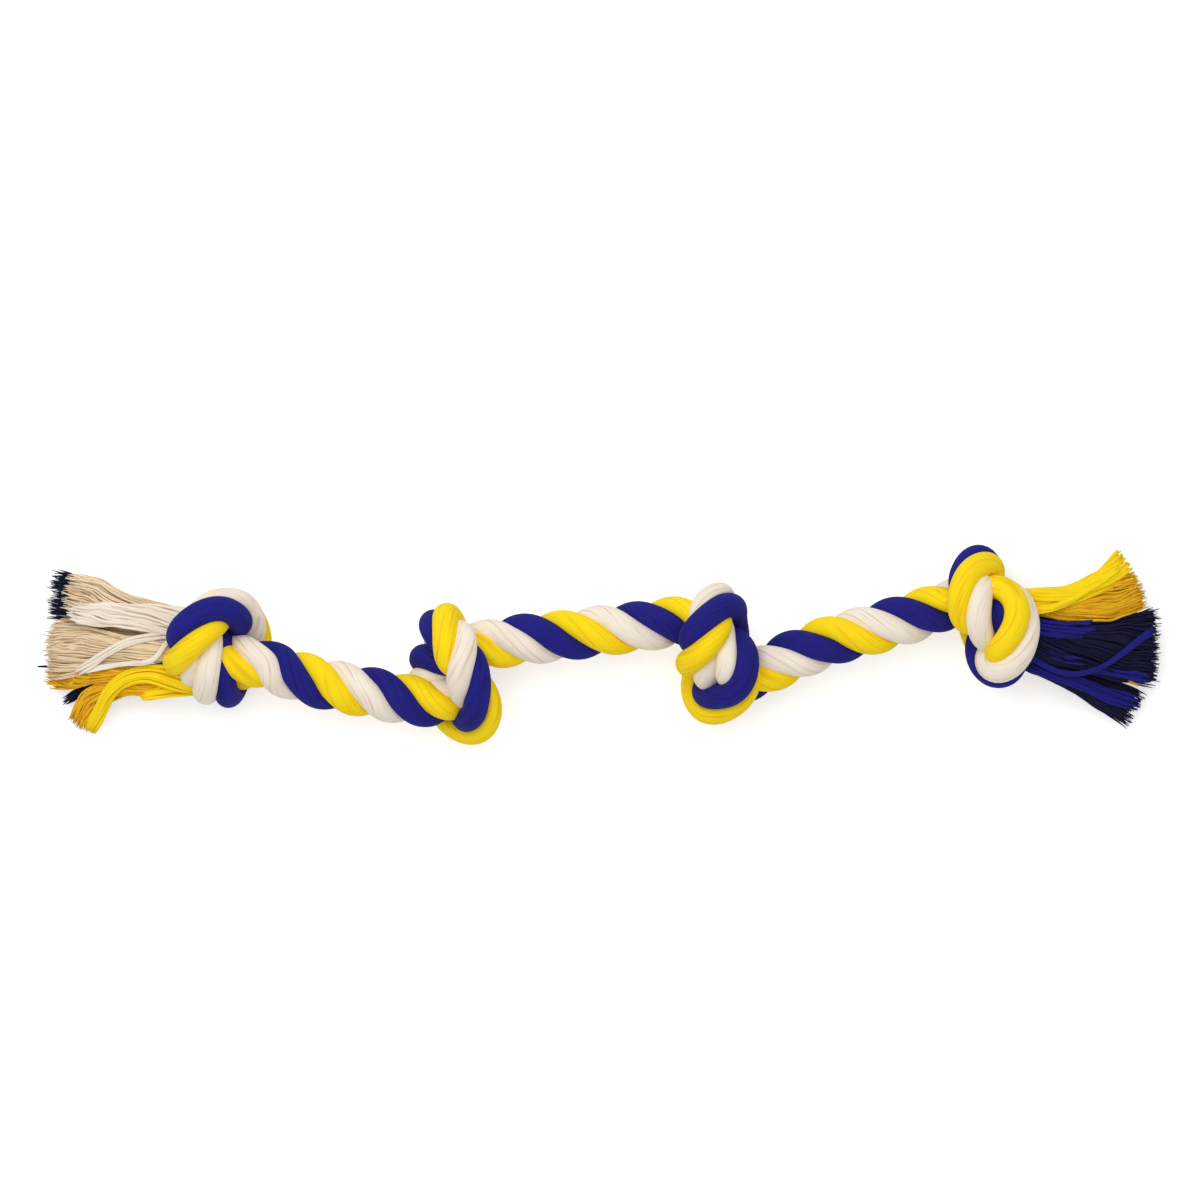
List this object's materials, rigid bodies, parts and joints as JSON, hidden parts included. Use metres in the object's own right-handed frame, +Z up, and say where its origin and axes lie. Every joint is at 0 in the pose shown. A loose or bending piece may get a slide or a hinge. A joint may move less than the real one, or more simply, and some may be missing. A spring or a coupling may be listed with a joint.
{
  "type": "knotted rope tug toy",
  "caption": "Length of thick three-strand cotton rope with overhand knots along it and both ends cut and frayed into tassels.",
  "frame": {"origin": "middle of the rope's length and width, on the surface that it lies on", "axes": "+X along the rope towards the end with the yellow locks on top, +Z up from the surface, +Y across the rope"},
  "size_m": [0.558, 0.0964, 0.0634],
  "materials": {
    "blue_cotton": "soft combed cotton",
    "cream_cotton": "soft combed cotton",
    "yellow_cotton": "soft combed cotton",
    "navy_core_yarns": "frayed yarns",
    "ecru_core_yarns": "frayed yarns",
    "mustard_core_yarns": "frayed yarns"
  },
  "bodies": {
    "knot_2": {"knot_2_blue_strand": "blue_cotton", "knot_2_cream_strand": "cream_cotton", "knot_2_yellow_strand": "yellow_cotton", "span_1_blue_strand": "blue_cotton", "span_1_cream_strand": "cream_cotton", "span_1_yellow_strand": "yellow_cotton", "span_2_blue_strand": "blue_cotton", "span_2_cream_strand": "cream_cotton", "span_2_yellow_strand": "yellow_cotton"},
    "knot_1": {"knot_1_blue_strand": "blue_cotton", "knot_1_cream_strand": "cream_cotton", "knot_1_yellow_strand": "yellow_cotton"},
    "knot_3": {"knot_3_blue_strand": "blue_cotton", "knot_3_cream_strand": "cream_cotton", "knot_3_yellow_strand": "yellow_cotton", "span_3_blue_strand": "blue_cotton", "span_3_cream_strand": "cream_cotton", "span_3_yellow_strand": "yellow_cotton"},
    "knot_4": {"knot_4_blue_strand": "blue_cotton", "knot_4_cream_strand": "cream_cotton", "knot_4_yellow_strand": "yellow_cotton"},
    "tassel_left": {"left_neck_blue_strand": "blue_cotton", "left_neck_cream_strand": "cream_cotton", "left_neck_yellow_strand": "yellow_cotton", "left_tassel_blue_lock": "blue_cotton", "left_tassel_blue_yarns": "navy_core_yarns", "left_tassel_cream_lock": "cream_cotton", "left_tassel_cream_yarns": "ecru_core_yarns", "left_tassel_yellow_lock": "yellow_cotton", "left_tassel_yellow_yarns": "mustard_core_yarns"},
    "tassel_right": {"right_neck_blue_strand": "blue_cotton", "right_neck_cream_strand": "cream_cotton", "right_neck_yellow_strand": "yellow_cotton", "right_tassel_blue_lock": "blue_cotton", "right_tassel_blue_yarns": "navy_core_yarns", "right_tassel_cream_lock": "cream_cotton", "right_tassel_cream_yarns": "ecru_core_yarns", "right_tassel_yellow_lock": "yellow_cotton", "right_tassel_yellow_yarns": "mustard_core_yarns"}
  },
  "joints": [
    {"name": "span_1_bend", "type": "hinge", "parent": "knot_2", "child": "knot_1", "pos_m": [-0.128, -0.021, 0.034], "axis": [0, 0, 1], "range_deg": [-45, 45], "deforming": ["span_1_blue_strand", "span_1_cream_strand", "span_1_yellow_strand"]},
    {"name": "span_2_bend", "type": "hinge", "parent": "knot_2", "child": "knot_3", "pos_m": [-0.008, 0.006, 0.033], "axis": [0, 0, 1], "range_deg": [-45, 45], "deforming": ["span_2_blue_strand", "span_2_cream_strand", "span_2_yellow_strand"]},
    {"name": "span_3_bend", "type": "hinge", "parent": "knot_3", "child": "knot_4", "pos_m": [0.125, 0.005, 0.033], "axis": [0, 0, 1], "range_deg": [-45, 45], "deforming": ["span_3_blue_strand", "span_3_cream_strand", "span_3_yellow_strand"]},
    {"name": "left_tassel_swing", "type": "hinge", "parent": "knot_1", "child": "tassel_left", "pos_m": [-0.233, 0.004, 0.031], "axis": [0, 0, 1], "range_deg": [-25, 25], "deforming": ["left_neck_blue_strand", "left_neck_cream_strand", "left_neck_yellow_strand"]},
    {"name": "right_tassel_swing", "type": "hinge", "parent": "knot_4", "child": "tassel_right", "pos_m": [0.239, 0.002, 0.03], "axis": [0, 0, 1], "range_deg": [-25, 25], "deforming": ["right_neck_blue_strand", "right_neck_cream_strand", "right_neck_yellow_strand"]}
  ]
}
